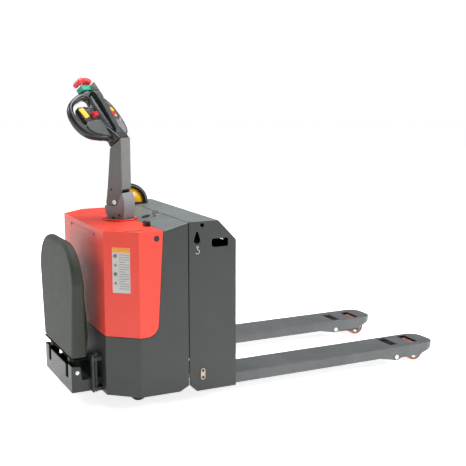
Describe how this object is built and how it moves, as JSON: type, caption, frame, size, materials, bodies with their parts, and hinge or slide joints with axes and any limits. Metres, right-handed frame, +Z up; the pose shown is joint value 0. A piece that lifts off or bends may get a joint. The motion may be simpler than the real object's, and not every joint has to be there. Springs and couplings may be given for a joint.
{
  "type": "powered pallet jack",
  "caption": "Powered walk-and-ride pallet jack: steered drive unit with tiller and folding platform, and a battery frame that lifts with its forks.",
  "frame": {"origin": "on the floor, under the middle of the bounding box", "axes": "+X towards the fork tips, +Y to the operator's left, +Z up"},
  "size_m": [1.71, 0.745, 1.3139],
  "materials": {
    "body_paint": "satin",
    "top_paint": "satin",
    "fork_paint": "satin",
    "cover_red": "semi-gloss",
    "frame_paint": "satin",
    "bright_steel": "brushed",
    "black_screws": "matte",
    "retainer_tan": "satin",
    "unit_black": "satin",
    "controller_grey": "matte",
    "gear_casting": "cast",
    "battery_black": "matte",
    "guard_yellow": "gloss",
    "drive_rubber": "matte",
    "load_wheel_poly": "satin",
    "tiller_grey": "satin",
    "head_black": "satin",
    "spine_grey": "satin",
    "bracket_grey": "satin",
    "belly_green": "satin",
    "belly_red": "satin",
    "knob_red": "satin",
    "button_yellow": "satin",
    "deck_grey": "satin"
  },
  "bodies": {
    "chassis": {"chassis_shell": "body_paint", "drive_cover": "cover_red", "cover_boss": "cover_red", "dash_panel": "top_paint", "cover_screws": "black_screws", "drive_plate": "frame_paint", "slewing_ring": "bright_steel", "hydraulic_unit": "unit_black", "lift_cylinders": "unit_black", "motor_controller": "controller_grey", "guide_channels": "frame_paint", "platform_bracket": "body_paint", "platform_posts": "frame_paint", "platform_pin": "bright_steel", "link_anchors": "frame_paint", "charge_gauge": "black_screws", "key_switch": "bright_steel"},
    "load_frame": {"frame_sides": "body_paint", "frame_face": "body_paint", "battery_tray": "body_paint", "lift_brackets": "body_paint", "battery": "battery_black", "fork_left": "fork_paint", "fork_right": "fork_paint", "frame_pins": "bright_steel", "retainer_plates": "retainer_tan", "retainer_screws": "black_screws", "lift_rams": "bright_steel"},
    "lid": {"battery_lid": "top_paint", "round_guard": "guard_yellow"},
    "linkage": {"link_shaft": "frame_paint"},
    "rod_left": {"push_rod_left": "frame_paint"},
    "rod_right": {"push_rod_right": "frame_paint"},
    "load_arm_left": {"bogie_left": "frame_paint"},
    "load_arm_right": {"bogie_right": "frame_paint"},
    "load_roller_left": {"load_wheel_left": "load_wheel_poly"},
    "load_roller_right": {"load_wheel_right": "load_wheel_poly"},
    "steering": {"drive_housing": "gear_casting", "drive_motor": "unit_black", "motor_brake": "gear_casting", "steering_column": "frame_paint", "tiller_knuckle": "tiller_grey", "knuckle_cover": "tiller_grey", "tilt_pin": "bright_steel"},
    "drive_wheel": {"drive_tyre": "drive_rubber", "drive_hub": "bright_steel"},
    "tiller": {"tiller_arm": "tiller_grey", "head_shell": "head_black", "head_spine": "spine_grey", "head_bracket": "bracket_grey", "belly_base": "belly_green"},
    "belly_switch": {"belly_button": "belly_red"},
    "throttle": {"throttle_shaft": "bright_steel", "throttle_knob_left": "knob_red", "throttle_knob_right": "knob_red"},
    "lift_switch": {"lift_button": "button_yellow"},
    "horn_switch": {"horn_button": "button_yellow"},
    "caster_swivel_left": {"caster_left": "frame_paint"},
    "caster_swivel_right": {"caster_right": "frame_paint"},
    "caster_roller_left": {"caster_wheel_left": "drive_rubber"},
    "caster_roller_right": {"caster_wheel_right": "drive_rubber"},
    "platform": {"platform_deck": "deck_grey"},
    "ignition_key": {"key": "bright_steel"}
  },
  "joints": [
    {"name": "lift", "type": "slide", "parent": "chassis", "child": "load_frame", "axis": [0, 0, 1], "range_m": [0, 0.11]},
    {"name": "lid_hinge", "type": "hinge", "parent": "load_frame", "child": "lid", "pos_m": [-0.213, 0, 0.657], "axis": [0, 1, 0], "range_deg": [0, 100]},
    {"name": "linkage_turn", "type": "hinge", "parent": "load_frame", "child": "linkage", "pos_m": [-0.356, 0, 0.119], "axis": [0, 1, 0], "range_deg": [-46.64, 0.5]},
    {"name": "rod_slide_left", "type": "slide", "parent": "load_frame", "child": "rod_left", "axis": [1, 0, 0], "range_m": [-0.0005, 0.02401]},
    {"name": "rod_slide_right", "type": "slide", "parent": "load_frame", "child": "rod_right", "axis": [1, 0, 0], "range_m": [-0.0005, 0.02401]},
    {"name": "load_arm_turn_left", "type": "hinge", "parent": "load_frame", "child": "load_arm_left", "pos_m": [0.631, 0.2455, 0.046], "axis": [0, 1, 0], "range_deg": [-0.5, 54.27]},
    {"name": "load_arm_turn_right", "type": "hinge", "parent": "load_frame", "child": "load_arm_right", "pos_m": [0.631, -0.2455, 0.046], "axis": [0, 1, 0], "range_deg": [-0.5, 54.27]},
    {"name": "load_wheel_spin_left", "type": "hinge", "parent": "load_arm_left", "child": "load_roller_left", "pos_m": [0.76991, 0.2455, 0.041], "axis": [0, 1, 0], "continuous": true},
    {"name": "load_wheel_spin_right", "type": "hinge", "parent": "load_arm_right", "child": "load_roller_right", "pos_m": [0.76991, -0.2455, 0.041], "axis": [0, 1, 0], "continuous": true},
    {"name": "steer", "type": "hinge", "parent": "chassis", "child": "steering", "pos_m": [-0.57, 0, 0.308], "axis": [0, 0, 1], "range_deg": [-35, 145]},
    {"name": "drive_spin", "type": "hinge", "parent": "steering", "child": "drive_wheel", "pos_m": [-0.57, 0, 0.115], "axis": [0.8192, 0.5736, 0], "continuous": true},
    {"name": "tiller_tilt", "type": "hinge", "parent": "steering", "child": "tiller", "pos_m": [-0.57, 0, 0.796], "axis": [-0.8192, -0.5736, 0], "range_deg": [0, 56]},
    {"name": "belly_press", "type": "slide", "parent": "tiller", "child": "belly_switch", "axis": [0.3531, -0.5043, -0.788], "range_m": [0, 0.008], "stiffness_N_per_m": 3000, "springref_m": -0.002},
    {"name": "throttle_turn", "type": "hinge", "parent": "tiller", "child": "throttle", "pos_m": [-0.61962, 0.07087, 1.14936], "axis": [0.8192, 0.5736, 0], "range_deg": [-20, 20], "stiffness_Nm_per_rad": 6},
    {"name": "lift_press", "type": "slide", "parent": "tiller", "child": "lift_switch", "axis": [-0.6367, 0.4876, -0.5974], "range_m": [0, 0.003], "stiffness_N_per_m": 1500, "springref_m": -0.002},
    {"name": "horn_press", "type": "slide", "parent": "tiller", "child": "horn_switch", "axis": [-0.2404, 0.7651, -0.5974], "range_m": [0, 0.003], "stiffness_N_per_m": 1500, "springref_m": -0.002},
    {"name": "caster_swivel_left_turn", "type": "hinge", "parent": "chassis", "child": "caster_swivel_left", "pos_m": [-0.612, 0.225, 0.14], "axis": [0, 0, 1], "continuous": true},
    {"name": "caster_swivel_right_turn", "type": "hinge", "parent": "chassis", "child": "caster_swivel_right", "pos_m": [-0.612, -0.225, 0.14], "axis": [0, 0, 1], "continuous": true},
    {"name": "caster_spin_left", "type": "hinge", "parent": "caster_swivel_left", "child": "caster_roller_left", "pos_m": [-0.584, 0.225, 0.04], "axis": [0, 1, 0], "continuous": true},
    {"name": "caster_spin_right", "type": "hinge", "parent": "caster_swivel_right", "child": "caster_roller_right", "pos_m": [-0.584, -0.225, 0.04], "axis": [0, 1, 0], "continuous": true},
    {"name": "platform_fold", "type": "hinge", "parent": "chassis", "child": "platform", "pos_m": [-0.831, 0, 0.14], "axis": [0, -1, 0], "range_deg": [0, 90]},
    {"name": "key_turn", "type": "hinge", "parent": "chassis", "child": "ignition_key", "pos_m": [-0.444, -0.092, 0.74002], "axis": [-0.2459, 0, 0.9693], "range_deg": [0, 90]}
  ],
  "couplings": [
    {"joint": "linkage_turn", "follows": "lift", "rad_per_m": -7.3212},
    {"joint": "rod_slide_left", "follows": "lift", "ratio": 0.21375},
    {"joint": "rod_slide_right", "follows": "lift", "ratio": 0.21375},
    {"joint": "load_arm_turn_left", "follows": "lift", "rad_per_m": 8.5307},
    {"joint": "load_arm_turn_right", "follows": "lift", "rad_per_m": 8.5307}
  ]
}
